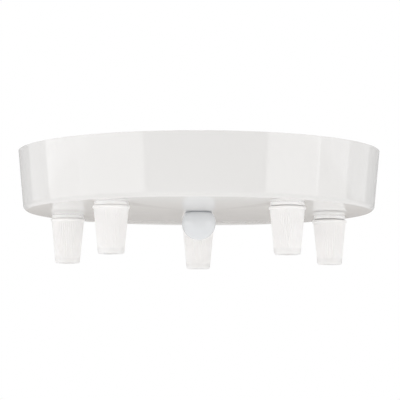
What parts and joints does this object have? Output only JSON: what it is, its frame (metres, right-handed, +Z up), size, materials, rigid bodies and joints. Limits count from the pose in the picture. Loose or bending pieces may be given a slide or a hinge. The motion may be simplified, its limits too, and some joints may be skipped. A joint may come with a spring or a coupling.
{
  "type": "electrical ceiling rose",
  "caption": "Round ceiling canopy with a ring of conical cord grips and a central ball nut, on a slotted strap.",
  "frame": {"origin": "middle of the ceiling plane, between the two screw slots of the strap", "axes": "+Z up to the ceiling, +X along the strap; the picture looks along +Y from slightly below"},
  "size_m": [0.16, 0.16, 0.0485],
  "materials": {
    "canopy_paint": "gloss",
    "ball_paint": "gloss",
    "grip_plastic": "satin",
    "nut_plastic": "satin",
    "rubber": "matte",
    "zinc": "zinc plated",
    "block_plastic": "matte",
    "brass": "satin"
  },
  "bodies": {
    "ceiling_mount": {"mounting_strap": "zinc", "fixing_rod": "zinc", "rod_nut_upper": "zinc", "rod_nut_lower": "zinc", "rod_lock_washer": "zinc", "terminal_block": "block_plastic", "terminal_inserts": "brass", "terminal_screws": "zinc", "terminal_block_screw": "zinc", "earth_screw": "brass", "earth_washer": "brass"},
    "canopy_group": {"canopy": "canopy_paint", "ball_washer": "rubber", "grip_stem_1": "grip_plastic", "grip_nut_1": "nut_plastic", "grip_washer_1": "zinc", "grip_stem_2": "grip_plastic", "grip_nut_2": "nut_plastic", "grip_washer_2": "zinc", "grip_stem_3": "grip_plastic", "grip_nut_3": "nut_plastic", "grip_washer_3": "zinc", "grip_stem_4": "grip_plastic", "grip_nut_4": "nut_plastic", "grip_washer_4": "zinc", "grip_stem_5": "grip_plastic", "grip_nut_5": "nut_plastic", "grip_washer_5": "zinc"},
    "ball_nut_body": {"ball_nut": "ball_paint"},
    "collet_body_1": {"grip_collet_1": "grip_plastic"},
    "cap_body_1": {"grip_cap_1": "grip_plastic"},
    "collet_body_2": {"grip_collet_2": "grip_plastic"},
    "cap_body_2": {"grip_cap_2": "grip_plastic"},
    "collet_body_3": {"grip_collet_3": "grip_plastic"},
    "cap_body_3": {"grip_cap_3": "grip_plastic"},
    "collet_body_4": {"grip_collet_4": "grip_plastic"},
    "cap_body_4": {"grip_cap_4": "grip_plastic"},
    "collet_body_5": {"grip_collet_5": "grip_plastic"},
    "cap_body_5": {"grip_cap_5": "grip_plastic"}
  },
  "joints": [
    {"name": "canopy_drop", "type": "slide", "parent": "ceiling_mount", "child": "canopy_group", "axis": [0, 0, -1], "range_m": [0, 0.008]},
    {"name": "ball_nut_turn", "type": "hinge", "parent": "canopy_group", "child": "ball_nut_body", "pos_m": [0, 0, -0.02675], "axis": [0, 0, -1], "range_deg": [0, 2880.1]},
    {"name": "collet_1_drop", "type": "slide", "parent": "canopy_group", "child": "collet_body_1", "axis": [0, 0, -1], "range_m": [-0.0002, 0.0073]},
    {"name": "cap_1_turn", "type": "hinge", "parent": "collet_body_1", "child": "cap_body_1", "pos_m": [0, 0.0624, -0.0282], "axis": [0, 0, -1], "range_deg": [-48.1, 1752.1]},
    {"name": "collet_2_drop", "type": "slide", "parent": "canopy_group", "child": "collet_body_2", "axis": [0, 0, -1], "range_m": [-0.0001, 0.0074]},
    {"name": "cap_2_turn", "type": "hinge", "parent": "collet_body_2", "child": "cap_body_2", "pos_m": [-0.05935, 0.01928, -0.0281], "axis": [0, 0, -1], "range_deg": [-24.1, 1776.1]},
    {"name": "collet_3_drop", "type": "slide", "parent": "canopy_group", "child": "collet_body_3", "axis": [0, 0, -1], "range_m": [-0.0001, 0.0074]},
    {"name": "cap_3_turn", "type": "hinge", "parent": "collet_body_3", "child": "cap_body_3", "pos_m": [-0.03668, -0.05048, -0.0281], "axis": [0, 0, -1], "range_deg": [-24.1, 1776.1]},
    {"name": "collet_4_drop", "type": "slide", "parent": "canopy_group", "child": "collet_body_4", "axis": [0, 0, -1], "range_m": [-0.0003, 0.0072]},
    {"name": "cap_4_turn", "type": "hinge", "parent": "collet_body_4", "child": "cap_body_4", "pos_m": [0.03668, -0.05048, -0.0283], "axis": [0, 0, -1], "range_deg": [-72.1, 1728.1]},
    {"name": "collet_5_drop", "type": "slide", "parent": "canopy_group", "child": "collet_body_5", "axis": [0, 0, -1], "range_m": [-0.00045, 0.00705]},
    {"name": "cap_5_turn", "type": "hinge", "parent": "collet_body_5", "child": "cap_body_5", "pos_m": [0.05935, 0.01928, -0.02845], "axis": [0, 0, -1], "range_deg": [-108.1, 1692.1]}
  ],
  "couplings": [
    {"joint": "ball_nut_turn", "follows": "canopy_drop", "rad_per_m": 6283.2},
    {"joint": "cap_1_turn", "follows": "collet_1_drop", "rad_per_m": 4188.8},
    {"joint": "cap_2_turn", "follows": "collet_2_drop", "rad_per_m": 4188.8},
    {"joint": "cap_3_turn", "follows": "collet_3_drop", "rad_per_m": 4188.8},
    {"joint": "cap_4_turn", "follows": "collet_4_drop", "rad_per_m": 4188.8},
    {"joint": "cap_5_turn", "follows": "collet_5_drop", "rad_per_m": 4188.8}
  ]
}
